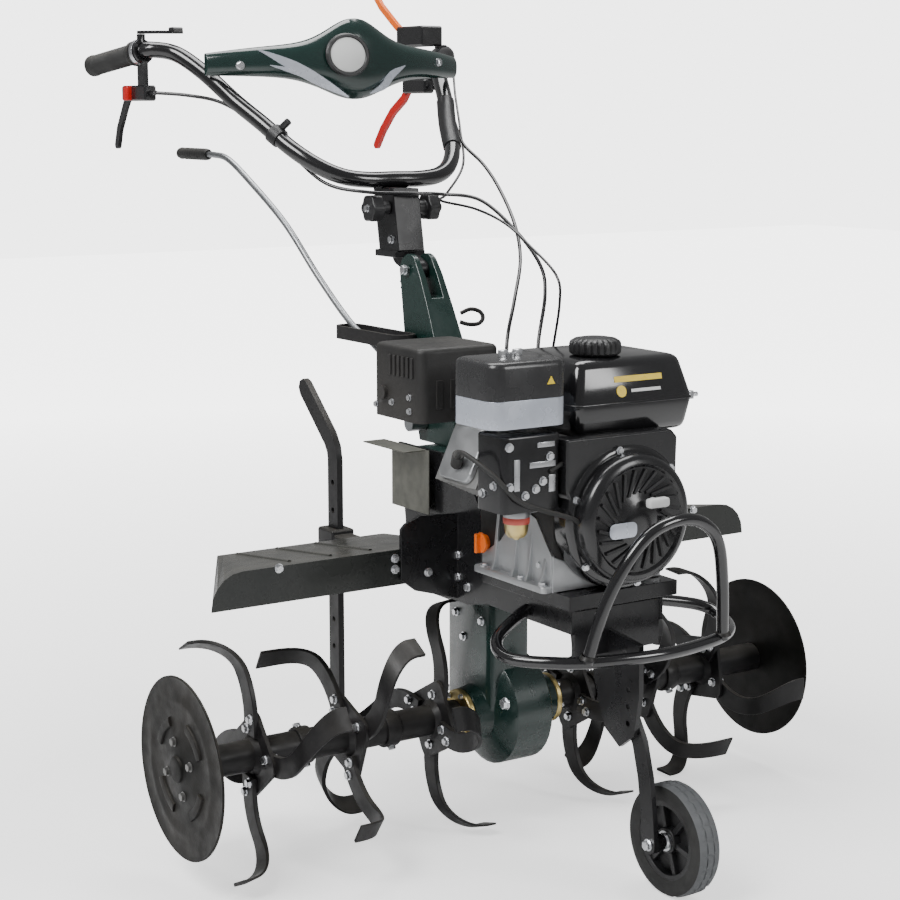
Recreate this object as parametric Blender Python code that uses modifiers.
"""Petrol tiller with a gear-driven rotor, built as separate pieces.

The machine faces -Y.  +X is the operator's left and +Z is up.  The ground is at Z = 0,
the rotor axle runs along X above the origin, the engine is ahead of it and the
handlebar behind it.  All sizes are in metres.
"""

import math

import bmesh
import bpy
from mathutils import Matrix, Vector

# Gaps between pieces.
GAP = 0.0003
RUN = 0.0008
WELD = 0.0001

# Rotor: shaft, hubs, tine sets and side discs.
TINE_REACH = 0.183
SHAFT_R = 0.0135
HUB_R = 0.024
DISC_X = 0.548
DISC_R = 0.136
DISC_T = 0.004
SET_X = (0.115, 0.270, 0.430)
SET_PLATE = 0.104
SET_PLATE_T = 0.006
TINE_WIDTH = 0.033
TINE_T = 0.008
TINE_SIDE = 0.066
TINE_LAG = math.radians(34)
TINE_ROOM = 0.007

# Gear case.
CASE_X = 0.020
CASE_R = 0.088
CASE_HALF = 0.040
NECK_R = 0.046
FLANGE_R = 0.040
FLANGE_T = 0.011
FLANGE_OUT = 0.084
LEG_HALF = 0.038
LEG_BACK = 0.078
LEG_FRONT = -0.046
CASE_TOP = 0.596
CASE_SHELF = 0.440
CASE_BACK = 0.128

# Frame plates and engine bed.
FRAME_X = 0.080
FRAME_T = 0.006
BED_TOP = 0.446
BED_T = 0.010
BED_HALF = 0.098
BED_FRONT = -0.332
BED_BACK = -0.112

# Fenders.
FENDER_OUT = 0.503
FENDER_REAR_OUT = 0.366
FENDER_FALL = 0.12
WING_OUT = 0.186
FENDER_FRONT = -0.016
FENDER_BACK = 0.236
FENDER_LOW = 0.412
FENDER_TOP = 0.467
FENDER_T = 0.002
FENDER_DROOP = 0.052

# Bumper.
BUMPER_X = 0.020
BUMPER_HALF = 0.200
BUMPER_R = 0.009
BUMPER_Z = 0.362
BUMPER_FRONT = -0.402
HOOP_HALF = 0.124
HOOP_TOP = 0.558

# Front wheel.
WHEEL_R = 0.083
WHEEL_W = 0.040
WHEEL_X = 0.040
WHEEL_Y = -0.405
WHEEL_AXLE_R = 0.008
ARM_PIVOT_Y = -0.322
ARM_PIVOT_Z = 0.305
ARM_T = 0.008
WHEEL_PLATE_X = -0.012

# Depth stake and its hitch.
STAKE_Y = 0.500
STAKE_DEEP = 0.034
STAKE_WIDE = 0.012
STAKE_FOOT = 0.040
STAKE_BEND = 0.530
HITCH_Z = 0.360
HITCH_TALL = 0.040
HITCH_HALF = 0.020

# Handlebar arm, its hinge and the column.
TILT_Y = 0.218
TILT_Z = 0.868
PIN_R = 0.006
ARM_HEAD = 0.026
ARM_HALF = 0.035
ARM_TOP_HALF = 0.0225
TONGUE_HALF = 0.010
COLUMN_HALF = 0.025
COLUMN_LOW = 0.897
COLUMN_DEEP = 0.062

# Handlebar.
BAR_R = 0.0135
BAR_LOW_Y = 0.295
BAR_LOW_Z = 1.0115
GRIP_R = 0.0175
GRIP_LONG = 0.128
BAR_END = (0.300, 0.600, 1.2225)
BAR_TIP = (0.3345, 0.752, 1.198)

# Console.
CONSOLE_HALF = 0.246
CONSOLE_FRONT = 0.405

# Engine: the crank axis runs along Y.
CRANK_Z = 0.552
FAN_R = 0.106
FAN_FRONT = -0.338
FAN_BACK = -0.304
RECOIL_FRONT = -0.366
CASE_FRONT = -0.300
ENGINE_BACK = -0.112

# Colours: red, green and blue.
BLACK = (0.012, 0.012, 0.013)
DARK_GREEN = (0.016, 0.040, 0.032)
BARE_ALLOY = (0.55, 0.56, 0.57)
PLATED = (0.62, 0.50, 0.20)
RUBBER_BLACK = (0.014, 0.014, 0.014)
RED = (0.45, 0.02, 0.015)
ORANGE = (0.85, 0.20, 0.03)
GREY_STEEL = (0.35, 0.35, 0.34)

FACING = {
    "X": (math.pi / 2, 0.0, math.pi / 2),
    "Y": (math.pi / 2, 0.0, 0.0),
    "Z": (0.0, 0.0, 0.0),
}


# ---------------------------------------------------------------- helpers

def clear_scene():
    for item in list(bpy.data.objects):
        bpy.data.objects.remove(item, do_unlink=True)


def collection(name):
    group = bpy.data.collections.new(name)
    bpy.context.scene.collection.children.link(group)
    return group


clear_scene()
PARTS = collection("tiller")
CUTTERS = collection("cutters")


def finish(name, colour, roughness, metallic):
    made = bpy.data.materials.new(name)
    made.use_nodes = True
    shader = made.node_tree.nodes["Principled BSDF"]
    shader.inputs["Base Color"].default_value = (*colour, 1.0)
    shader.inputs["Roughness"].default_value = roughness
    shader.inputs["Metallic"].default_value = metallic
    return made


def new_object(name, data, group=PARTS):
    item = bpy.data.objects.new(name, data)
    group.objects.link(item)
    return item


def paint(item, colour, roughness=0.5, metallic=0.0):
    item.data.materials.clear()
    item.data.materials.append(finish(item.name + "_finish", colour, roughness, metallic))
    return item


def from_bmesh(name, shape, group=PARTS):
    mesh = bpy.data.meshes.new(name)
    shape.to_mesh(mesh)
    shape.free()
    return new_object(name, mesh, group)


def as_mesh(item):
    """Turn a curve object into a closed mesh object with the same name and place."""
    graph = bpy.context.evaluated_depsgraph_get()
    mesh = bpy.data.meshes.new_from_object(item.evaluated_get(graph))
    shape = bmesh.new()
    shape.from_mesh(mesh)
    bmesh.ops.remove_doubles(shape, verts=shape.verts, dist=WELD / 10)
    bmesh.ops.recalc_face_normals(shape, faces=shape.faces)
    shape.transform(item.matrix_world)
    shape.to_mesh(mesh)
    shape.free()
    name = item.name
    group = item.users_collection[0]
    bpy.data.objects.remove(item, do_unlink=True)
    mesh.name = name
    return new_object(name, mesh, group)


def bake(item):
    """Apply an object's modifiers and its place to its mesh."""
    return as_mesh(item)


def box(name, low, high, bevel=0.0, segments=1, group=PARTS):
    shape = bmesh.new()
    bmesh.ops.create_cube(shape, size=1.0)
    size = [b - a for a, b in zip(low, high)]
    middle = [(a + b) / 2 for a, b in zip(low, high)]
    bmesh.ops.scale(shape, verts=shape.verts, vec=size)
    bmesh.ops.translate(shape, verts=shape.verts, vec=middle)
    if bevel:
        bmesh.ops.bevel(shape, geom=shape.edges[:], offset=bevel, segments=segments,
                        profile=0.5, affect="EDGES", material=-1)
    return from_bmesh(name, shape, group)


def plate(name, outline, thickness, middle, facing, holes=(), group=PARTS):
    """A flat sheet: a 2D outline, and holes, extruded along the facing axis."""
    curve = bpy.data.curves.new(name, "CURVE")
    curve.dimensions = "2D"
    curve.fill_mode = "BOTH"
    curve.extrude = thickness / 2
    for ring in (outline, *holes):
        spline = curve.splines.new("POLY")
        spline.points.add(len(ring) - 1)
        for point, (a, b) in zip(spline.points, ring):
            point.co = (a, b, 0.0, 1.0)
        spline.use_cyclic_u = True
    item = new_object(name, curve, group)
    item.rotation_euler = FACING[facing]
    item.location = middle
    bpy.context.view_layer.update()
    return as_mesh(item)


def ring(centre, radius, count=16, start=0.0):
    a, b = centre
    turn = 2 * math.pi / count
    return [(a + radius * math.cos(start + i * turn), b + radius * math.sin(start + i * turn))
            for i in range(count)]


def arc(centre, radius, first, last, count):
    """Points on an arc, angles in degrees."""
    a, b = centre
    out = []
    for i in range(count + 1):
        angle = math.radians(first + (last - first) * i / count)
        out.append((a + radius * math.cos(angle), b + radius * math.sin(angle)))
    return out


def route(points, step=0.012):
    """Read a smooth curve through the points at an even spacing."""
    knots = [Vector(p) for p in points]
    knots = [2 * knots[0] - knots[1], *knots, 2 * knots[-1] - knots[-2]]
    out = []
    for a, b, c, d in zip(knots, knots[1:], knots[2:], knots[3:]):
        count = max(1, round((c - b).length / step))
        for i in range(count):
            t = i / count
            out.append(0.5 * (2 * b + (c - a) * t + (2 * a - 5 * b + 4 * c - d) * t ** 2
                              + (3 * b - a - 3 * c + d) * t ** 3))
    out.append(knots[-2])
    return out


def tube(name, points, radius, sides=2, group=PARTS):
    curve = bpy.data.curves.new(name, "CURVE")
    curve.dimensions = "3D"
    curve.bevel_depth = radius
    curve.bevel_resolution = sides
    curve.use_fill_caps = True
    spline = curve.splines.new("POLY")
    spline.points.add(len(points) - 1)
    for point, place in zip(spline.points, points):
        point.co = (*place, 1.0)
    item = new_object(name, curve, group)
    bpy.context.view_layer.update()
    return as_mesh(item)


def turned(name, profile, middle, facing="Z", steps=24, closed=False, group=PARTS):
    """Spin a (radius, height) profile, listed down its outer side, about the facing axis."""
    mesh = bpy.data.meshes.new(name)
    points = [(r, 0.0, h) for r, h in profile]
    edges = [(i, i + 1) for i in range(len(points) - 1)]
    if closed:
        edges.append((len(points) - 1, 0))
    mesh.from_pydata(points, edges, [])
    item = new_object(name, mesh, group)
    screw = item.modifiers.new("spin", "SCREW")
    screw.steps = steps
    screw.render_steps = steps
    screw.use_merge_vertices = True
    screw.merge_threshold = WELD
    turns = {"X": (0, math.pi / 2, 0), "Y": (-math.pi / 2, 0, 0), "Z": (0, 0, 0)}
    item.rotation_euler = turns[facing]
    item.location = middle
    bpy.context.view_layer.update()
    return as_mesh(item)


def rod(name, middle, radius, long, facing, steps=16, group=PARTS):
    half = long / 2
    profile = [(0.0, half), (radius, half), (radius, -half), (0.0, -half)]
    return turned(name, profile, middle, facing, steps, group=group)


def combine(target, other, operation):
    if other.users_collection[0] is not CUTTERS:
        other.users_collection[0].objects.unlink(other)
        CUTTERS.objects.link(other)
    other.hide_render = True
    other.display_type = "WIRE"
    step = target.modifiers.new(operation.lower(), "BOOLEAN")
    step.operation = operation
    step.solver = "EXACT"
    step.object = other
    return target


def cut(target, *cutters):
    for cutter in cutters:
        combine(target, cutter, "DIFFERENCE")
    return target


def weld(target, *pieces):
    for piece in pieces:
        combine(target, piece, "UNION")
    return target


def spin_about(item, angle, axis, centre):
    """Turn a mesh object about a line through centre."""
    move = Matrix.Translation(centre) @ Matrix.Rotation(angle, 4, axis)
    item.data.transform(move @ Matrix.Translation(-Vector(centre)))
    return item


def mirrored(name, item, middle_x=0.0):
    """A copy of a finished mesh object, mirrored across the plane X = middle_x."""
    bpy.context.view_layer.update()
    graph = bpy.context.evaluated_depsgraph_get()
    mesh = bpy.data.meshes.new_from_object(item.evaluated_get(graph))
    flip = Matrix.Translation((2 * middle_x, 0, 0)) @ Matrix.Scale(-1, 4, (1, 0, 0))
    mesh.transform(flip)
    mesh.flip_normals()
    return new_object(name, mesh)


def smooth(item, angle=35):
    item.data.shade_smooth()
    item.data.set_sharp_from_angle(angle=math.radians(angle))
    return item


def placed(item, origin):
    """Move an object's origin to a point, leaving its shape where it is."""
    item.data.transform(Matrix.Translation(-Vector(origin)))
    item.location = origin
    return item


def aimed(item, start, direction):
    """Carry a shape made along +Z to a start point, pointing in a direction."""
    turn = Vector(direction).to_track_quat("Z", "Y").to_matrix().to_4x4()
    item.data.transform(Matrix.Translation(start) @ turn)
    return item


def strip(points, width, cap=5):
    """The outline of a flat bar of constant width that follows a few 2D points."""
    knots = [Vector(p) for p in points]
    half = width / 2
    left, right = [], []
    for i, knot in enumerate(knots):
        before = knots[max(i - 1, 0)]
        after = knots[min(i + 1, len(knots) - 1)]
        along = (after - before).normalized()
        across = Vector((-along.y, along.x)) * half
        left.append(tuple(knot + across))
        right.append(tuple(knot - across))
    along = (knots[-1] - knots[-2]).normalized()
    first = math.degrees(math.atan2(along.y, along.x)) + 90
    end_cap = arc(tuple(knots[-1]), half, first, first - 180, cap)[1:-1]
    along = (knots[0] - knots[1]).normalized()
    first = math.degrees(math.atan2(along.y, along.x)) + 90
    start_cap = arc(tuple(knots[0]), half, first, first - 180, cap)[1:-1]
    return left + end_cap + right[::-1] + start_cap


# ---------------------------------------------------------------- gear case and frame

def gear_case():
    """One casting: the upper box, the leg and the round case with its two necks."""
    half = FRAME_X - FRAME_T / 2 - GAP
    case = box("gear_case", (-half, 0.0, CASE_SHELF), (half, CASE_BACK, CASE_TOP), 0.006, 2)
    leg = box("case_leg", (-LEG_HALF, LEG_FRONT, TINE_REACH),
              (LEG_HALF, LEG_BACK, CASE_SHELF + 0.020), 0.010, 2, CUTTERS)
    neck = FLANGE_OUT - FLANGE_T / 2 - GAP
    profile = [(0.0, neck), (NECK_R - 0.006, neck), (NECK_R, CASE_HALF + 0.010),
               (CASE_R - 0.010, CASE_HALF), (CASE_R, CASE_HALF - 0.008)]
    profile += [(r, -h) for r, h in reversed(profile)]
    drum = turned("case_drum", profile, (CASE_X, 0, TINE_REACH), "X", 32, group=CUTTERS)
    weld(case, leg, drum)
    bore = rod("case_bore", (CASE_X, 0, TINE_REACH), SHAFT_R + RUN, 0.30, "X", 24, CUTTERS)
    return paint(cut(case, bore), DARK_GREEN, 0.45, 0.0)


def clutch_housing():
    radius = FRAME_X - FRAME_T / 2 - 2 * GAP
    front = ENGINE_BACK + GAP
    long = -GAP - front
    profile = [(0.0, long / 2), (radius - 0.004, long / 2), (radius, long / 2 - 0.004),
               (radius, -long / 2 + 0.014), (radius - 0.010, -long / 2), (0.0, -long / 2)]
    made = turned("clutch_housing", profile, (0, (front - GAP) / 2, CRANK_Z), "Y", 32)
    return paint(made, DARK_GREEN, 0.45, 0.0)


def axle_flange(name, side):
    middle = (CASE_X + side * FLANGE_OUT, 0, TINE_REACH)
    bore = SHAFT_R + RUN
    half = FLANGE_T / 2
    profile = [(bore, half), (FLANGE_R - 0.002, half), (FLANGE_R, half - 0.002),
               (FLANGE_R, 0.002 - half), (FLANGE_R - 0.002, -half), (bore, -half)]
    made = turned(name, profile, middle, "X", 32, closed=True)
    return paint(smooth(made), PLATED, 0.35, 0.9)


def frame_plate(name):
    """Side plate from the gear case to the engine bed, with a wing for the fender."""
    low = 2 * TINE_REACH + TINE_ROOM
    bed = BED_TOP - BED_T - GAP
    outline = [(0.152, CASE_TOP + 0.004), (0.131, 0.478), (CASE_BACK, 0.396), (0.060, low),
               (-0.050, low), (-0.100, 0.385), (BED_FRONT + 0.014, 0.385),
               (BED_FRONT + 0.014, bed), (ENGINE_BACK + GAP, bed),
               (ENGINE_BACK + GAP, BED_TOP + 0.040), (-0.030, CASE_TOP + 0.004)]
    made = plate(name, outline, FRAME_T, (-FRAME_X, 0, 0), "X")
    wing_outline = [(-FRAME_X, 0.512), (-0.150, 0.516), (0.008 - WING_OUT, 0.506),
                    (-WING_OUT, 0.498), (-WING_OUT, 0.420), (-0.160, 0.400),
                    (-FRAME_X, low + 0.004)]
    wing = plate("fender_wing", wing_outline, FRAME_T,
                 (0, FENDER_FRONT - GAP - FRAME_T / 2, 0), "Y", group=CUTTERS)
    return weld(made, wing)


def frame_plates():
    right = paint(frame_plate("frame_plate_right"), BLACK, 0.42)
    left = mirrored("frame_plate_left", right)
    paint(left, BLACK, 0.42)


def engine_bed():
    shape = bmesh.new()
    bmesh.ops.create_cube(shape, size=1.0)
    low = (-BED_HALF, BED_FRONT, BED_TOP - 0.022)
    high = (BED_HALF, BED_BACK, BED_TOP)
    for vert in shape.verts:
        vert.co = [b if c > 0 else a for a, b, c in zip(low, high, vert.co)]
    open_sides = [f for f in shape.faces if f.normal.z < -0.5 or f.normal.y > 0.5]
    bmesh.ops.delete(shape, geom=open_sides, context="FACES_ONLY")
    made = from_bmesh("engine_bed", shape)
    wall = made.modifiers.new("sheet", "SOLIDIFY")
    wall.thickness = BED_T / 2
    wall.offset = -1.0
    pad = box("bed_pad", (-FRAME_X + 0.010, BED_FRONT + 0.020, BED_TOP - BED_T),
              (FRAME_X - 0.010, BED_BACK - 0.004, BED_TOP - BED_T / 4), 0, 1, CUTTERS)
    return paint(weld(bake(made), pad), BLACK, 0.45)


def fender(name, side):
    """A sheet hood over the rotor, rounded down at its outer end and at the back."""
    shape = bmesh.new()
    bmesh.ops.create_cube(shape, size=1.0)
    low = (-FENDER_OUT, FENDER_FRONT, FENDER_LOW)
    inner = FRAME_X + FRAME_T / 2 + GAP
    high = (-inner, FENDER_BACK, FENDER_TOP)
    for vert in shape.verts:
        vert.co = [b if c > 0 else a for a, b, c in zip(low, high, vert.co)]
    bmesh.ops.delete(shape, geom=[f for f in shape.faces if f.normal.z < -0.5],
                     context="FACES_ONLY")


    def top_edges(axis, value):
        return [e for e in shape.edges
                if all(abs(v.co[axis] - value) < WELD and abs(v.co.z - FENDER_TOP) < WELD
                       for v in e.verts)]

    bmesh.ops.bevel(shape, geom=top_edges(1, FENDER_BACK), offset=0.040, segments=4,
                    profile=0.5, affect="EDGES", material=-1)
    bmesh.ops.bevel(shape, geom=top_edges(0, -FENDER_OUT), offset=FENDER_DROOP, segments=5,
                    profile=0.5, affect="EDGES", material=-1)
    taper = (FENDER_OUT - FENDER_REAR_OUT) / (FENDER_BACK - FENDER_FRONT)
    for vert in shape.verts:
        back = vert.co.y - FENDER_FRONT
        if vert.co.x < -inner - WELD:
            vert.co.x += taper * back
        if vert.co.z > FENDER_LOW + WELD:
            vert.co.z -= FENDER_FALL * back * (vert.co.z - FENDER_LOW) / (FENDER_TOP - FENDER_LOW)
    made = from_bmesh(name, shape)
    wall = made.modifiers.new("sheet", "SOLIDIFY")
    wall.thickness = FENDER_T
    wall.offset = -1.0
    if side > 0:
        copy = mirrored(name + "_left", made)
        bpy.data.objects.remove(made, do_unlink=True)
        copy.name = name
        made = copy
    return paint(smooth(made), BLACK, 0.30)


def bumper():
    """A bow of round tube with an upright hoop welded on it."""
    half = BUMPER_HALF
    x, y, z, r = BUMPER_X, BUMPER_FRONT, BUMPER_Z, BUMPER_R
    end = FRAME_X + FRAME_T / 2 + GAP
    side = [(0.100, y + 0.016, z), (0.160, y + 0.047, z), (half, y + 0.105, z),
            (half - 0.012, y + 0.150, z + 0.014)]
    right_half = [(x - a, b, c) for a, b, c in reversed(side)]
    left_half = [(x + a, b, c) for a, b, c in side]
    ends = [(0.014 - end, y + 0.200, z + 0.041), (-end - 0.030, y + 0.180, z + 0.032)]
    other = [(-a, b, c) for a, b, c in reversed(ends)]
    bow = tube("bumper", route(ends + right_half + [(x, y, z)] + left_half + other, 0.032), r, 3)
    h = HOOP_HALF
    legs = [(-h, y + 0.020, z), (-0.84 * h, y + 0.008, z + 0.080), (-0.60 * h, y - 0.006, z + 0.145),
            (-0.30 * h, y - 0.014, HOOP_TOP - 0.012), (0.12 * h, y - 0.016, HOOP_TOP),
            (0.46 * h, y - 0.014, HOOP_TOP - 0.012), (0.72 * h, y - 0.006, z + 0.150),
            (0.88 * h, y + 0.006, z + 0.085), (h, y + 0.020, z)]
    hoop = tube("hoop", route([(x + a, b, c) for a, b, c in legs], 0.030), r, 3, CUTTERS)
    inside = box("between_plates", (-end, y + 0.150, z - 0.050), (end, y + 0.250, z + 0.090),
                 group=CUTTERS)
    return paint(smooth(cut(weld(bow, hoop), inside)), BLACK, 0.28)


def wheel_bracket():
    """Upright pivot plate for the wheel arm, on a cross piece between the frame plates."""
    outline = [(-0.262, 0.390), (-0.388, 0.376), (-0.389, 0.300), (-0.378, 0.240),
               (-0.345, 0.215), (-0.310, 0.236), (-0.285, 0.300)]
    pin_holes = [ring((ARM_PIVOT_Y - 0.042, ARM_PIVOT_Z + dz), 0.0045, 10)
                 for dz in (-0.050, -0.025, 0.0)]
    made = plate("wheel_bracket", outline, ARM_T, (WHEEL_PLATE_X, 0, 0), "X", pin_holes)
    inner = FRAME_X - FRAME_T / 2 - GAP
    shelf = box("bracket_shelf", (-inner, -0.316, 0.386), (inner, -0.262, 0.394),
                group=CUTTERS)
    face = box("bracket_face", (-inner, -0.317, 0.350), (inner, -0.311, 0.418), group=CUTTERS)
    pin = rod("bracket_pin", (WHEEL_PLATE_X + 0.010, ARM_PIVOT_Y, ARM_PIVOT_Z), 0.007, 0.026,
              "X", 16, CUTTERS)
    return paint(weld(made, shelf, face, pin), BLACK, 0.42)


def hitch_arm():
    """Box bar behind the gear case, ending in the socket of the depth stake."""
    made = box("hitch_arm", (-HITCH_HALF, LEG_BACK + GAP, HITCH_Z - HITCH_TALL / 2),
               (HITCH_HALF, STAKE_Y - 0.020, HITCH_Z + HITCH_TALL / 2), 0.003)
    reach = STAKE_DEEP / 2 + 0.010
    socket = box("stake_socket", (-HITCH_HALF - 0.003, STAKE_Y - reach, HITCH_Z - 0.028),
                 (HITCH_HALF + 0.003, STAKE_Y + reach, HITCH_Z + 0.028), 0.003, 1, CUTTERS)
    hole = box("socket_hole",
               (-STAKE_WIDE / 2 - RUN, STAKE_Y - STAKE_DEEP / 2 - RUN, HITCH_Z - 0.05),
               (STAKE_WIDE / 2 + RUN, STAKE_Y + STAKE_DEEP / 2 + RUN, HITCH_Z + 0.05),
               group=CUTTERS)
    return paint(cut(weld(made, socket), hole), BLACK, 0.45)


def depth_stake():
    path = [(STAKE_Y, STAKE_FOOT), (STAKE_Y, 0.300), (STAKE_Y, STAKE_BEND - 0.018),
            (STAKE_Y + 0.004, STAKE_BEND), (STAKE_Y + 0.016, STAKE_BEND + 0.018),
            (STAKE_Y + 0.104, STAKE_BEND + 0.098)]
    holes = [ring((STAKE_Y, z), 0.005, 10) for z in (0.170, 0.220, 0.270, 0.420, 0.470)]
    made = plate("depth_stake", strip(path, STAKE_DEEP, 4), STAKE_WIDE, (0, 0, 0), "X", holes)
    return paint(placed(made, (0, STAKE_Y, HITCH_Z)), BLACK, 0.40)


# ---------------------------------------------------------------- handlebar arm

def arm_back(z):
    """The line of the arm's back edge."""
    return 0.222 + (z - 0.760) * 0.22


def column_arm():
    """Tapered upright casting, slotted at the top for the tongue of the column."""
    foot = CASE_TOP + GAP
    head = [(TILT_Y + a, TILT_Z + b) for a, b in arc((0, 0), ARM_HEAD, -10, 150, 9)]
    outline = [(0.048, foot), (0.165, foot), (arm_back(0.760), 0.760)] + head
    outline += [(0.182, 0.862), (0.157, 0.816), (0.130, 0.762)]
    arm = as_mesh(plate("column_arm", outline, 2.0, (0, 0, 0), "X"))
    for vert in arm.data.vertices:
        vert.co.x *= arm_half(vert.co.z)
    slot = box("arm_slot", (-TONGUE_HALF - RUN, 0.160, 0.826),
               (TONGUE_HALF + RUN, 0.280, 0.910), group=CUTTERS)
    pin = rod("arm_pin", (0, TILT_Y, TILT_Z), PIN_R, 2 * ARM_TOP_HALF + 0.010, "X", 16, CUTTERS)
    return paint(weld(cut(arm, slot), pin), DARK_GREEN, 0.40)


def arm_half(z):
    """Half the width of the arm, which narrows towards the top."""
    part = (z - CASE_TOP) / (TILT_Z - CASE_TOP)
    return ARM_HALF + (ARM_TOP_HALF - ARM_HALF) * part


def height_sector():
    """Toothed strip beside the arm's back edge, which sets the handlebar height."""
    low, high, count = 0.772, 0.852, 8
    pitch = (high - low) / count
    teeth = []
    for i in range(count):
        z = low + i * pitch
        teeth.append((arm_back(z) + 0.003, z))
        teeth.append((arm_back(z + pitch / 2) + 0.008, z + pitch / 2))
    teeth.append((arm_back(high) + 0.003, high))
    inner = [(arm_back(high) + GAP, high), (arm_back(low) + GAP, low)]
    made = plate("height_sector", teeth + inner, 0.005, (-0.0165, 0, 0), "X")
    return paint(made, BLACK, 0.45)


GATE_Z = 0.757


def gear_gate():
    """A flat bar bent into a long loop that the gear lever moves in."""
    wide = 0.048
    x = -arm_half(GATE_Z - 0.011) - GAP - wide / 2
    outer = strip([(x, 0.192), (x, 0.352)], wide, 7)
    inner = strip([(x, 0.192), (x, 0.352)], wide - 0.010, 7)
    made = plate("gear_gate", outer, 0.022, (0, 0, GATE_Z), "Z", [inner])
    return paint(made, BLACK, 0.42)


def column():
    """Square tube with a foot flange and the tongue that turns on the arm's pin."""
    top = BAR_LOW_Z - BAR_R - GAP
    outline = [(0.241, COLUMN_LOW), (0.241 + COLUMN_DEEP, COLUMN_LOW),
               (0.259 + COLUMN_DEEP, top), (0.259, top)]
    post = plate("column", outline, 2 * COLUMN_HALF, (0, 0, 0), "X")
    foot = box("column_foot", (-0.029, 0.246, COLUMN_LOW - 0.011), (0.029, 0.310, COLUMN_LOW),
               group=CUTTERS)
    tongue = plate("column_tongue", strip([(TILT_Y, TILT_Z), (0.272, 0.888)], 0.030, 8),
                   2 * TONGUE_HALF, (0, 0, 0), "X", [ring((TILT_Y, TILT_Z), PIN_R + RUN, 16)],
                   group=CUTTERS)
    made = weld(post, foot, tongue)
    return paint(placed(made, (0, TILT_Y, TILT_Z)), BLACK, 0.38)


KNOB_Y = 0.272
KNOB_Z = 0.966


def star_knob(name, side):
    lobes = 6
    points = []
    for i in range(lobes * 6):
        angle = 2 * math.pi * i / (lobes * 6)
        radius = 0.0215 * (1 + 0.08 * math.cos(lobes * angle))
        points.append((radius * math.cos(angle), radius * math.sin(angle)))
    inner = COLUMN_HALF + GAP
    middle = (side * (inner + 0.029), KNOB_Y, KNOB_Z)
    head = plate(name, points, 0.022, middle, "X")
    neck = rod(name + "_neck", (side * (inner + 0.010), KNOB_Y, KNOB_Z), 0.011, 0.020, "X", 16,
               CUTTERS)
    return paint(placed(weld(head, neck), middle), BLACK, 0.5)


# ---------------------------------------------------------------- handlebar

def bar_points(side):
    """From the middle of the handlebar out to the end under the grip."""
    middle = [(0.050, BAR_LOW_Y, BAR_LOW_Z), (0.092, 0.302, 1.017), (0.126, 0.322, 1.033),
              (0.156, 0.358, 1.061), (0.180, 0.410, 1.100), (0.207, 0.458, 1.138),
              (0.234, 0.520, 1.186), (0.262, 0.566, 1.217)]
    end, tip = Vector(BAR_END), Vector(BAR_TIP)
    middle += [tuple(end.lerp(tip, part)) for part in (-0.06, 0.04, 0.94)]
    return [(side * a, b, c) for a, b, c in middle]


def handlebar():
    right = bar_points(-1)[::-1]
    path = route(right + [(0, BAR_LOW_Y, BAR_LOW_Z)] + bar_points(1), 0.026)
    made = tube("handlebar", path, BAR_R, 4)
    return paint(smooth(made), BLACK, 0.30)


def grip(name, side):
    start = Vector((side * BAR_END[0], BAR_END[1], BAR_END[2]))
    tip = Vector((side * BAR_TIP[0], BAR_TIP[1], BAR_TIP[2]))
    along = (tip - start).normalized()
    bore = BAR_R + 2 * GAP
    top = GRIP_LONG
    profile = [(0.0, top + 0.005), (GRIP_R + 0.003, top + 0.005), (GRIP_R + 0.004, top - 0.003),
               (GRIP_R, top - 0.012), (GRIP_R - 0.001, 0.060), (GRIP_R, 0.014),
               (GRIP_R + 0.003, 0.009), (GRIP_R + 0.003, 0.0), (bore, 0.0), (bore, top),
               (0.0, top)]
    made = turned(name, profile, (0, 0, 0), "Z", 24)
    aimed(made, start + along * 0.028, along)
    return paint(smooth(made), RUBBER_BLACK, 0.75)


def console():
    """Moulded cover between the arms of the handlebar, bulging forward in the middle."""
    shape = bmesh.new()
    bmesh.ops.create_cube(shape, size=2.0)
    for axis, cuts in ((0, 23), (2, 3)):
        along = [e for e in shape.edges
                 if abs(abs(e.verts[0].co[axis] - e.verts[1].co[axis]) - 2.0) < WELD]
        bmesh.ops.subdivide_edges(shape, edges=along, cuts=cuts, use_grid_fill=True)
    for vert in shape.verts:
        u, depth, v = vert.co
        x = u * CONSOLE_HALF
        hump = math.exp(-(x / 0.062) ** 2)
        top = 1.236 + 0.040 * hump - 0.020 * abs(u) ** 2
        bottom = 1.176 - 0.034 * math.exp(-(x / 0.075) ** 2) + 0.004 * abs(u)
        z = bottom + (top - bottom) * (v + 1) / 2
        front = CONSOLE_FRONT + 1.30 * x * x - 0.004 * (1 - v * v)
        thick = 0.012 + 0.026 * (1 - u * u)
        vert.co = (x, front + thick * (depth + 1) / 2, z)
    made = from_bmesh("console", shape)
    return paint(smooth(made), DARK_GREEN, 0.35)


def control_clamp(name, side, group=PARTS):
    """Ring that clamps a control on the bar just ahead of the grip."""
    start = Vector((side * BAR_END[0], BAR_END[1], BAR_END[2]))
    tip = Vector((side * BAR_TIP[0], BAR_TIP[1], BAR_TIP[2]))
    along = (tip - start).normalized()
    profile = [(BAR_R + 2 * GAP, 0.020), (0.020, 0.020), (0.020, 0.0), (BAR_R + 2 * GAP, 0.0)]
    made = turned(name, profile, (0, 0, 0), "Z", 24, closed=True, group=group)
    return aimed(made, start + along * 0.006, along)


LEVER_X = 0.302
LEVER_Y = 0.664
LEVER_Z = 1.152
LEVER_HALF = 0.004
RED_LEVER_X = 0.262
RED_LEVER_Y = 0.664
RED_LEVER_Z = 1.166
SAFETY_X = 0.264
SAFETY_Y = 0.690
SAFETY_Z = 1.262
THROTTLE_Y = 0.615
THROTTLE_Z = 1.250


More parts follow.
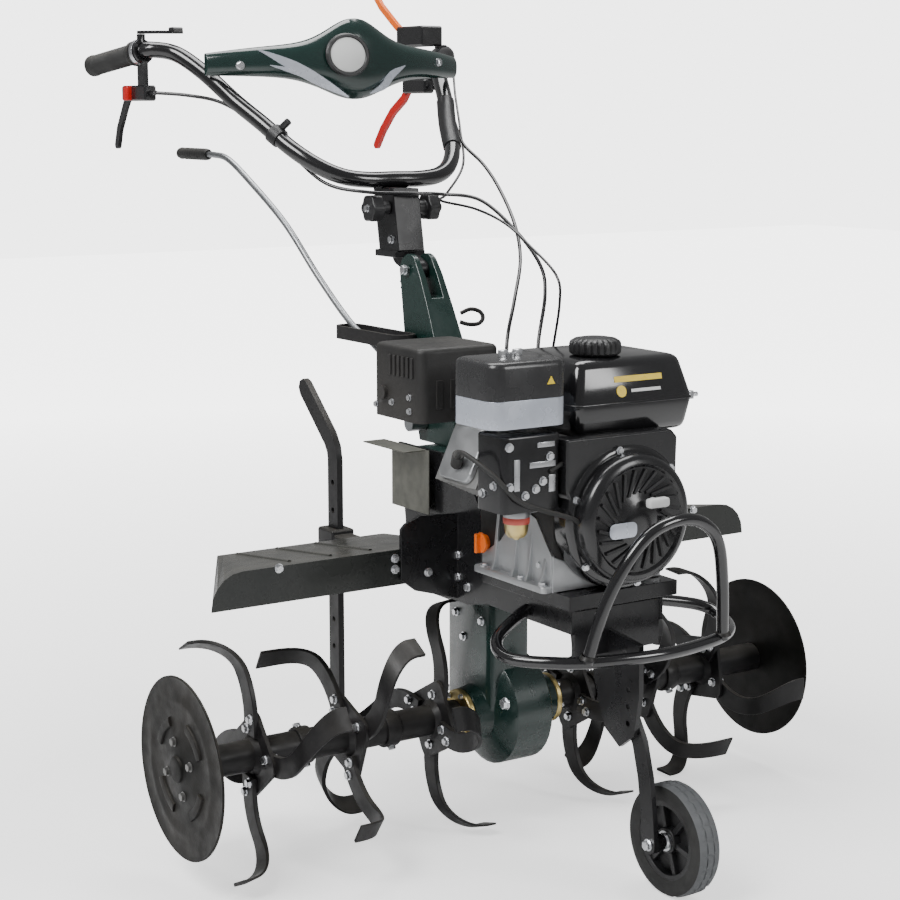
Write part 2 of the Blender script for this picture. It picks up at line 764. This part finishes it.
def right_control_mount():
    """Clamp, hanger and hinge block of the clutch lever, and the throttle lever's post."""
    made = control_clamp("right_control_mount", -1)
    x = -LEVER_X
    hanger = box("right_hanger", (x - 0.005, 0.600, LEVER_Z + 0.005), (x + 0.005, 0.622, 1.2045),
                 group=CUTTERS)
    block = box("right_block", (x - 0.011, 0.582, LEVER_Z - 0.013),
                (x + 0.011, LEVER_Y + 0.012, LEVER_Z + 0.013), 0.003, 1, CUTTERS)
    slot = box("right_slot", (x - LEVER_HALF - RUN, LEVER_Y - 0.014, LEVER_Z - 0.03),
               (x + LEVER_HALF + RUN, LEVER_Y + 0.03, LEVER_Z + 0.03), group=CUTTERS)
    pin = rod("right_pin", (x, LEVER_Y, LEVER_Z), 0.003, 0.021, "X", 12, CUTTERS)
    foot = BAR_END[2] - 0.003 + BAR_R + 0.004
    post = rod("throttle_post", (x, THROTTLE_Y, (foot + THROTTLE_Z - GAP) / 2), 0.007,
               THROTTLE_Z - GAP - foot, "Z", 12, CUTTERS)
    return paint(weld(cut(weld(made, hanger, block), slot), pin, post), BLACK, 0.4)


def clutch_lever():
    path = [(LEVER_Y, LEVER_Z), (LEVER_Y + 0.018, LEVER_Z - 0.020),
            (LEVER_Y + 0.046, LEVER_Z - 0.060), (LEVER_Y + 0.056, LEVER_Z - 0.088)]
    made = plate("clutch_lever", strip(path, 0.013, 6), 2 * LEVER_HALF, (-LEVER_X, 0, 0), "X",
                 [ring((LEVER_Y, LEVER_Z), 0.003 + RUN, 12)])
    return paint(placed(made, (-LEVER_X, LEVER_Y, LEVER_Z)), BLACK, 0.4)


def throttle_lever():
    x, y = -LEVER_X, THROTTLE_Y
    path = [(x, y), (x + 0.020, y - 0.022), (x + 0.052, y - 0.040)]
    made = plate("throttle_lever", strip(path, 0.013, 6), 0.005, (0, 0, THROTTLE_Z + 0.0028), "Z")
    tab = box("throttle_tab", (x + 0.036, y - 0.048, THROTTLE_Z + 0.0015),
              (x + 0.056, y - 0.030, THROTTLE_Z + 0.011), 0.002, 1, CUTTERS)
    return paint(placed(weld(made, tab), (x, y, THROTTLE_Z)), BLACK, 0.45)


def left_control_mount():
    """Clamp with the switch box on top and the hanger of the red lever below."""
    made = control_clamp("left_control_mount", 1)
    switch = box("switch_box", (SAFETY_X - 0.016, 0.600, 1.2395),
                 (SAFETY_X + 0.030, 0.690, 1.276), 0.003, 1, CUTTERS)
    foot = box("switch_foot", (0.290, 0.606, 1.236), (0.306, 0.622, 1.242), group=CUTTERS)
    slot = box("safety_slot", (SAFETY_X - LEVER_HALF - RUN, SAFETY_Y - 0.016, 1.23),
               (SAFETY_X + LEVER_HALF + RUN, SAFETY_Y + 0.03, 1.29), group=CUTTERS)
    safety_pin = rod("safety_pin", (SAFETY_X + 0.002, SAFETY_Y - 0.004, SAFETY_Z), 0.003, 0.030,
                     "X", 12, CUTTERS)
    x = RED_LEVER_X
    hanger = box("left_hanger", (x - 0.004, 0.600, RED_LEVER_Z + 0.004), (0.298, 0.622, 1.2045),
                 group=CUTTERS)
    block = box("left_block", (x - 0.011, 0.596, RED_LEVER_Z - 0.012),
                (x + 0.011, RED_LEVER_Y + 0.011, RED_LEVER_Z + 0.014), 0.003, 1, CUTTERS)
    red_slot = box("red_slot", (x - LEVER_HALF - RUN, RED_LEVER_Y - 0.014, RED_LEVER_Z - 0.03),
                   (x + LEVER_HALF + RUN, RED_LEVER_Y + 0.03, RED_LEVER_Z + 0.03),
                   group=CUTTERS)
    red_pin = rod("red_pin", (x, RED_LEVER_Y, RED_LEVER_Z), 0.003, 0.021, "X", 12, CUTTERS)
    weld(made, foot, switch, hanger, block)
    return paint(weld(cut(made, slot, red_slot), safety_pin, red_pin), BLACK, 0.4)


def reverse_lever():
    y, z = RED_LEVER_Y, RED_LEVER_Z
    path = [(y, z), (y + 0.020, z - 0.022), (y + 0.060, z - 0.046), (y + 0.096, z - 0.080),
            (y + 0.118, z - 0.108)]
    made = plate("reverse_lever", strip(path, 0.015, 6), 2 * LEVER_HALF, (RED_LEVER_X, 0, 0), "X",
                 [ring((y, z), 0.003 + RUN, 12)])
    return paint(placed(made, (RED_LEVER_X, y, z)), RED, 0.35)


def safety_lever():
    y, z = SAFETY_Y - 0.004, SAFETY_Z
    path = [(y, z), (y + 0.034, z + 0.022), (y + 0.080, z + 0.054), (y + 0.104, z + 0.078)]
    made = plate("safety_lever", strip(path, 0.012, 6), 2 * LEVER_HALF, (SAFETY_X, 0, 0), "X",
                 [ring((y, z), 0.003 + RUN, 12)])
    return paint(placed(made, (SAFETY_X, y, z)), ORANGE, 0.35)


GEAR_ROOT = (-0.055, 0.150, 0.628)
GEAR_PATH = [(-0.055, 0.190, 0.692), (-0.055, 0.262, 0.738), (-0.056, 0.345, 0.772),
             (-0.068, 0.430, 0.842), (-0.085, 0.516, 0.930), (-0.103, 0.610, 1.000),
             (-0.116, 0.668, 1.038), (-0.124, 0.706, 1.045), (-0.127, 0.722, 1.0452)]
KNOB_FAR = (-0.131, 0.830, 1.046)


def gear_lever():
    made = tube("gear_lever", route([GEAR_ROOT, *GEAR_PATH, KNOB_FAR][:-1]
                                    + [tuple(Vector(GEAR_PATH[-1]).lerp(Vector(KNOB_FAR), 0.7))],
                                    0.026), 0.0055, 2)
    boss = rod("gear_boss", (GEAR_ROOT[0] + 0.0045, *GEAR_ROOT[1:]), 0.013, 0.029, "X", 16, CUTTERS)
    return paint(placed(smooth(weld(made, boss)), GEAR_ROOT), GREY_STEEL, 0.35, 0.8)


def gear_knob():
    start, far = Vector(GEAR_PATH[-1]), Vector(KNOB_FAR)
    long = (far - start).length
    bore = 0.0055 + 2 * GAP
    profile = [(0.0, long), (0.008, long), (0.0105, long - 0.006), (0.011, long / 2),
               (0.010, 0.004), (0.008, 0.0), (bore, 0.0), (bore, 0.72 * long),
               (0.0, 0.72 * long)]
    made = aimed(turned("gear_knob", profile, (0, 0, 0), "Z", 20), start, far - start)
    return paint(smooth(made), RUBBER_BLACK, 0.6)


# ---------------------------------------------------------------- rotor

def tine(root_angle, side, name):
    """A flat bar that leaves the plate, sweeps back and turns sideways into a blade."""
    lean = side * (SET_PLATE_T / 2 + TINE_T / 2 - 0.001)
    outer = TINE_REACH - TINE_T / 2 - 0.001
    bend = TINE_SIDE - 0.012
    inner = 0.032
    stations = []
    steps = 3
    for i in range(steps + 1):
        stations.append((inner + (outer - bend - inner) * i / steps, lean, 0.0))
    for i in range(1, 6):
        turn = math.radians(90 * i / 5)
        stations.append((outer - bend + bend * math.sin(turn),
                         lean + side * bend * (1 - math.cos(turn)), turn))
    stations.append((outer, lean + side * TINE_SIDE, math.pi / 2))
    shape = bmesh.new()
    rings = []
    for radius, across, turn in stations:
        part = (radius - inner) / (outer - inner)
        angle = root_angle - TINE_LAG * part ** 1.6
        along = Vector((0, math.cos(angle), math.sin(angle)))
        width = Vector((0, -math.sin(angle), math.cos(angle)))
        normal = Vector((1, 0, 0)) * math.cos(turn) - along * side * math.sin(turn)
        middle = Vector((across, 0, 0)) + along * radius
        taper = 1.0 + 0.10 * math.sin(turn)
        corners = [(1, 1), (-1, 1), (-1, -1), (1, -1)]
        rings.append([shape.verts.new(middle + width * (a * TINE_WIDTH / 2 * taper)
                                      + normal * (b * TINE_T / 2)) for a, b in corners])
    for one, two in zip(rings, rings[1:]):
        for i in range(4):
            j = (i + 1) % 4
            shape.faces.new((one[i], one[j], two[j], two[i]))
    shape.faces.new(rings[0])
    shape.faces.new(rings[-1])
    bmesh.ops.recalc_face_normals(shape, faces=shape.faces)
    return from_bmesh(name, shape, CUTTERS)


def tine_set(name, x, tip_angle, side):
    """A square plate welded for the hub, with four tines that point left and right in turn."""
    half = SET_PLATE / 2
    corner = 0.016
    square = [(half, corner - half), (half, half - corner), (half - corner, half),
              (corner - half, half), (-half, half - corner), (-half, corner - half),
              (corner - half, -half), (half - corner, -half)]
    root = math.radians(tip_angle) + TINE_LAG
    turn = Matrix.Rotation(root + math.radians(45), 2)
    outline = [tuple(turn @ Vector(p)) for p in square]
    made = plate(name, outline, SET_PLATE_T, (0, 0, 0), "X", [ring((0, 0), HUB_R + GAP, 24)])
    for i in range(4):
        way = side if i % 2 == 0 else -side
        weld(made, tine(root + i * math.pi / 2, way, f"{name}_tine_{i}"))
    place = Matrix.Translation((x, 0, TINE_REACH))
    made = bake(made)
    made.data.transform(place)
    return paint(placed(made, (x, 0, TINE_REACH)), BLACK, 0.45)


def rotor():
    """Shaft, hubs, tine sets and side discs, all turning together about the axle."""
    hub_start = (CASE_X - FLANGE_OUT - FLANGE_T / 2 - 0.003,
                 CASE_X + FLANGE_OUT + FLANGE_T / 2 + 0.003)
    hub_end = DISC_X - DISC_T / 2 - GAP
    reach = 0.120
    low, high = hub_start[0] - reach, hub_start[1] + reach
    shaft = rod("output_shaft", ((low + high) / 2, 0, TINE_REACH), SHAFT_R, high - low, "X", 24)
    paint(smooth(placed(shaft, (CASE_X, 0, TINE_REACH))), GREY_STEEL, 0.3, 0.9)
    for name, first, last in (("hub_right", -hub_end, hub_start[0]),
                              ("hub_left", hub_start[1], hub_end)):
        half = (last - first) / 2
        bore = SHAFT_R + GAP
        profile = [(bore, half), (HUB_R, half), (HUB_R, -half), (bore, -half)]
        made = turned(name, profile, ((first + last) / 2, 0, TINE_REACH), "X", 24, closed=True)
        paint(smooth(placed(made, ((first + last) / 2, 0, TINE_REACH))), BLACK, 0.4)
    sets = (("tine_set_right_outer", -SET_X[2], 62, -1), ("tine_set_right_middle", -SET_X[1], 32, -1),
            ("tine_set_right_inner", -SET_X[0], 72, 1), ("tine_set_left_inner", SET_X[0] + 0.04, 70, 1),
            ("tine_set_left_middle", SET_X[1] + 0.02, 29, 1), ("tine_set_left_outer", SET_X[2], 2, 1))
    for name, x, tip_angle, side in sets:
        tine_set(name, x, tip_angle, side)
    disc("disc_right", -1)
    disc("disc_left", 1)


def disc(name, side):
    half = DISC_T / 2
    profile = [(0.0, 0.012), (0.020, 0.012), (0.024, 0.005), (0.052, 0.004), (0.060, half),
               (DISC_R, half), (DISC_R, -half), (0.0, -half)]
    made = turned(name, profile, (0, 0, 0), "Z", 40)
    aimed(made, (side * DISC_X, 0, TINE_REACH), (side, 0, 0))
    return paint(smooth(placed(made, (side * DISC_X, 0, TINE_REACH))), BLACK, 0.45)


# ---------------------------------------------------------------- front wheel

def wheel_arm():
    """Curved flat bar from the bracket's pin to the wheel, with the axle welded in it."""
    arm_x = WHEEL_PLATE_X + ARM_T + 2 * GAP
    path = [(ARM_PIVOT_Y, ARM_PIVOT_Z), (-0.352, 0.270), (-0.378, 0.228), (-0.392, 0.180),
            (-0.400, 0.130), (WHEEL_Y, WHEEL_R)]
    made = plate("wheel_arm", strip(path, 0.028, 7), ARM_T, (arm_x, 0, 0), "X",
                 [ring((ARM_PIVOT_Y, ARM_PIVOT_Z), 0.007 + RUN, 16)])
    far = WHEEL_X + WHEEL_W / 2 + 0.012
    axle = rod("wheel_axle", ((arm_x + far) / 2, WHEEL_Y, WHEEL_R), WHEEL_AXLE_R,
               far - arm_x, "X", 20, CUTTERS)
    collar = rod("axle_collar", (arm_x + ARM_T / 2 + 0.006, WHEEL_Y, WHEEL_R), 0.014, 0.012, "X",
                 20, CUTTERS)
    head = rod("axle_head", (far, WHEEL_Y, WHEEL_R), 0.012, 0.006, "X", 6, CUTTERS)
    return paint(placed(weld(made, axle, collar, head), (arm_x, ARM_PIVOT_Y, ARM_PIVOT_Z)), BLACK, 0.42)


def front_wheel():
    """Wheel with a narrow tyre and a pressed disc with five windows."""
    bore = WHEEL_AXLE_R + RUN
    tread = WHEEL_W / 2
    side = [(bore, 0.019), (0.019, 0.019), (0.021, 0.003), (0.056, 0.003), (0.061, tread),
            (0.077, tread), (WHEEL_R, tread - 0.008)]
    profile = side + [(r, -h) for r, h in reversed(side)]
    made = turned("front_wheel", profile, (WHEEL_X, WHEEL_Y, WHEEL_R), "X", 32, closed=True)
    for i in range(5):
        angle = 2 * math.pi * (i + 0.3) / 5
        middle = (WHEEL_Y + 0.039 * math.cos(angle), WHEEL_R + 0.039 * math.sin(angle))
        cut(made, rod(f"wheel_window_{i}", (WHEEL_X, *middle), 0.011, 0.02, "X", 10, CUTTERS))
    return paint(smooth(placed(made, (WHEEL_X, WHEEL_Y, WHEEL_R))), RUBBER_BLACK, 0.7)


# ---------------------------------------------------------------- engine

BARREL_LEAN = math.radians(25)
ROPE_X = 0.020
ROPE_Z = 0.5775
ROPE_R = 0.0025
ROPE_IN = 0.235


def rope_bore(front, back):
    return rod("rope_bore", (ROPE_X, (front + back) / 2, ROPE_Z), ROPE_R + RUN, back - front, "Y",
               10, CUTTERS)


CRANKCASE_LOW = (-0.105, CASE_FRONT, BED_TOP + GAP)
CRANKCASE_HIGH = (0.097, ENGINE_BACK, 0.640)


def crankcase():
    made = box("crankcase", CRANKCASE_LOW, CRANKCASE_HIGH, 0.008, 2)
    cut(made, rope_bore(CASE_FRONT - 0.01, ENGINE_BACK - 0.012))
    return paint(made, BARE_ALLOY, 0.45, 0.7)


def cylinder():
    """Barrel and head, leaning from the crankcase toward the operator's right."""
    near, far, tall = 0.095, 0.208, 0.088
    made = box("cylinder", (-far, -0.252, -tall / 2), (-near, -0.148, tall / 2), 0.006, 1)
    spin_about(made, BARREL_LEAN, "Y", (0, 0, 0))
    made.data.transform(Matrix.Translation((0, 0, CRANK_Z)))
    room = box("barrel_room", [c - GAP for c in CRANKCASE_LOW],
               [c + GAP for c in CRANKCASE_HIGH], group=CUTTERS)
    return paint(cut(made, room), BARE_ALLOY, 0.5, 0.7)


def cylinder_cowl():
    made = box("cylinder_cowl", (-0.206, -0.322, 0.574), (-0.1075, -0.2525, 0.6825), 0.010, 2)
    return paint(made, BLACK, 0.4)


def carburettor():
    """Float bowl under its body, beside the crankcase."""
    profile = [(0.0, 0.573), (0.019, 0.573), (0.019, 0.566), (0.0165, 0.564), (0.0175, 0.540),
               (0.013, 0.530), (0.0, 0.528)]
    made = turned("carburettor", profile, (-0.158, -0.285, 0), "Z", 24)
    return paint(smooth(made), PLATED, 0.35, 0.8)


def fan_housing():
    """Pressed housing round the cooling fan, open at the back."""
    wall = 0.0025
    deep = FAN_BACK - FAN_FRONT
    half = deep / 2
    profile = [(0.0, -half), (0.0, -half + wall), (FAN_R - wall, -half + wall),
               (FAN_R - wall, half), (FAN_R, half), (FAN_R, 0.008 - half),
               (FAN_R - 0.008, -half)]
    made = turned("fan_housing", profile, (0, (FAN_FRONT + FAN_BACK) / 2, CRANK_Z), "Y", 32,
                  closed=True)
    cut(made, rope_bore(FAN_FRONT - 0.01, FAN_BACK + 0.01))
    return paint(smooth(made), BLACK, 0.35)


def recoil_cover():
    wall = 0.002
    back = FAN_FRONT - GAP
    deep = back - RECOIL_FRONT
    radius = FAN_R - 0.012
    profile = [(0.0, 0.0), (0.0, wall), (radius - 0.016, wall), (radius - wall, 0.016),
               (radius - wall, deep), (radius, deep), (radius, 0.014), (radius - 0.014, 0.0)]
    made = turned("recoil_cover", profile, (0, RECOIL_FRONT, CRANK_Z), "Y", 32, closed=True)
    cut(made, rope_bore(RECOIL_FRONT - 0.01, back + 0.01))
    return paint(smooth(made), BLACK, 0.35)


def pull_handle():
    """T-shaped handle with the end of the starter rope."""
    front = RECOIL_FRONT - GAP
    made = box("pull_handle", (ROPE_X - 0.018, front - 0.020, ROPE_Z - 0.007),
               (ROPE_X + 0.018, front - 0.006, ROPE_Z + 0.007), 0.004, 2)
    neck = rod("handle_neck", (ROPE_X, front - 0.004, ROPE_Z), 0.006, 0.008, "Y", 12, CUTTERS)
    rope = rod("starter_rope", (ROPE_X, front + ROPE_IN / 2 - 0.004, ROPE_Z), ROPE_R, ROPE_IN,
               "Y", 8, CUTTERS)
    return paint(placed(weld(made, neck, rope), (ROPE_X, front, ROPE_Z)), (0.8, 0.8, 0.8), 0.5)


TANK_LOW = (-0.076, -0.312, 0.664)
TANK_HIGH = (0.141, -0.100, 0.775)
TANK_SEAM = 0.712
TANK_TAPER = 0.016
CAP_Y = -0.250
AIR_LOW = (-0.236, -0.340, 0.696)
AIR_HIGH = (-0.107, -0.232, 0.788)
AIR_SPLIT = 0.735
MUFFLER_LOW = (-0.232, -0.150, 0.680)
MUFFLER_HIGH = (-0.092, -0.018, 0.788)


def fuel_tank():
    shape = bmesh.new()
    bmesh.ops.create_cube(shape, size=1.0)
    for vert in shape.verts:
        vert.co = [b if c > 0 else a for a, b, c in zip(TANK_LOW, TANK_HIGH, vert.co)]
    bmesh.ops.bisect_plane(shape, geom=shape.verts[:] + shape.edges[:] + shape.faces[:],
                           plane_co=(0, 0, TANK_SEAM), plane_no=(0, 0, 1))
    middle = (Vector(TANK_LOW) + Vector(TANK_HIGH)) / 2
    for vert in shape.verts:
        if abs(vert.co.z - TANK_SEAM) > WELD:
            pull = TANK_TAPER if vert.co.z > TANK_SEAM else TANK_TAPER / 2
            for axis in (0, 1):
                vert.co[axis] -= math.copysign(pull, vert.co[axis] - middle[axis])
    made = from_bmesh("fuel_tank", shape)
    edge = made.modifiers.new("edge", "BEVEL")
    edge.width = 0.014
    edge.segments = 3
    edge.limit_method = "ANGLE"
    edge.angle_limit = math.radians(25)
    return paint(smooth(made, 50), BLACK, 0.25)


def fuel_cap():
    low = TANK_HIGH[2] + GAP
    profile = [(0.0, 0.028), (0.030, 0.028), (0.037, 0.022), (0.038, 0.002), (0.036, 0.0),
               (0.0, 0.0)]
    made = turned("fuel_cap", profile, (0.004, CAP_Y, low), "Z", 32)
    return paint(smooth(placed(made, (0.004, CAP_Y, low))), BLACK, 0.45)


def air_cleaner():
    low = box("air_cleaner_base", AIR_LOW, (AIR_HIGH[0], AIR_HIGH[1], AIR_SPLIT - GAP), 0.010, 2)
    paint(low, (0.6, 0.62, 0.68), 0.3, 0.6)
    top = box("air_cleaner_cover", (AIR_LOW[0] + 0.001, AIR_LOW[1] + 0.001, AIR_SPLIT),
              (AIR_HIGH[0] - 0.001, AIR_HIGH[1] - 0.001, AIR_HIGH[2]), 0.014, 3)
    paint(smooth(top, 50), (0.03, 0.03, 0.03), 0.4)


def muffler():
    made = box("muffler", MUFFLER_LOW, MUFFLER_HIGH, 0.012, 2)
    outlet = rod("muffler_outlet", (MUFFLER_LOW[0] - 0.006, -0.052, 0.716), 0.010, 0.024, "X", 16,
                 CUTTERS)
    return paint(weld(made, outlet), BLACK, 0.5)


def oil_cap():
    face = CRANKCASE_LOW[0] - GAP
    profile = [(0.0, 0.020), (0.010, 0.020), (0.0155, 0.014), (0.0155, 0.003), (0.013, 0.0),
               (0.0, 0.0)]
    made = aimed(turned("oil_cap", profile, (0, 0, 0), "Z", 20), (face, -0.132, 0.490),
                 (-1, 0, 0))
    return paint(placed(made, (face, -0.132, 0.490)), (0.8, 0.15, 0.03), 0.4)


# ---------------------------------------------------------------- cables

CABLE_STEP = 0.030

CABLES = {
    "throttle_cable": (0.0030, [
        (-0.302, 0.5812, 1.152), (-0.3015, 0.572, 1.1523), (-0.258, 0.530, 1.148),
        (-0.214, 0.494, 1.136), (-0.178, 0.444, 1.102), (-0.148, 0.376, 1.052),
        (-0.116, 0.318, 1.006), (-0.070, 0.266, 0.993), (0.000, 0.242, 0.990),
        (0.052, 0.232, 0.988), (0.0866, 0.170, 0.980), (0.1002, 0.090, 0.935),
        (0.0996, 0.020, 0.884), (0.088, -0.010, 0.839), (0.054, -0.040, 0.766),
        (0.046, -0.052, 0.690)]),
    "clutch_cable": (0.0030, [
        (0.262, 0.5955, 1.166), (0.262, 0.570, 1.162), (0.252, 0.520, 1.138),
        (0.222, 0.452, 1.104), (0.197, 0.386, 1.066), (0.2013, 0.330, 1.032),
        (0.188, 0.260, 0.991), (0.163, 0.180, 0.937), (0.118, 0.100, 0.886),
        (0.062, 0.036, 0.829), (0.022, -0.001, 0.765), (0.020, -0.008, 0.680)]),
    "stop_cable": (0.0022, [
        (0.305, 0.5955, 1.1980), (0.290, 0.560, 1.190), (0.262, 0.510, 1.150),
        (0.226, 0.440, 1.092), (0.186, 0.370, 1.030), (0.118, 0.318, 0.984),
        (0.070, 0.262, 0.976), (0.0768, 0.170, 0.966), (0.0807, 0.090, 0.946),
        (0.080, 0.020, 0.914), (0.080, -0.050, 0.873), (0.078, -0.062, 0.830),
        (0.070, -0.052, 0.740), (0.066, -0.048, 0.670)]),
}


def cables():
    for name, (radius, points) in CABLES.items():
        made = tube(name, route(points, CABLE_STEP), radius, 1)
        paint(smooth(made), BLACK, 0.6)


def build():
    gear_case()
    clutch_housing()
    axle_flange("axle_flange_right", -1)
    axle_flange("axle_flange_left", 1)
    frame_plates()
    engine_bed()
    fender("fender_right", -1)
    fender("fender_left", 1)
    bumper()
    wheel_bracket()
    hitch_arm()
    depth_stake()
    column_arm()
    height_sector()
    gear_gate()
    column()
    star_knob("star_knob_right", -1)
    star_knob("star_knob_left", 1)
    handlebar()
    grip("grip_right", -1)
    grip("grip_left", 1)
    console()
    right_control_mount()
    left_control_mount()
    clutch_lever()
    throttle_lever()
    reverse_lever()
    safety_lever()
    gear_lever()
    gear_knob()
    rotor()
    wheel_arm()
    front_wheel()
    crankcase()
    cylinder()
    cylinder_cowl()
    carburettor()
    fan_housing()
    recoil_cover()
    pull_handle()
    fuel_tank()
    fuel_cap()
    air_cleaner()
    muffler()
    oil_cap()
    cables()


build()
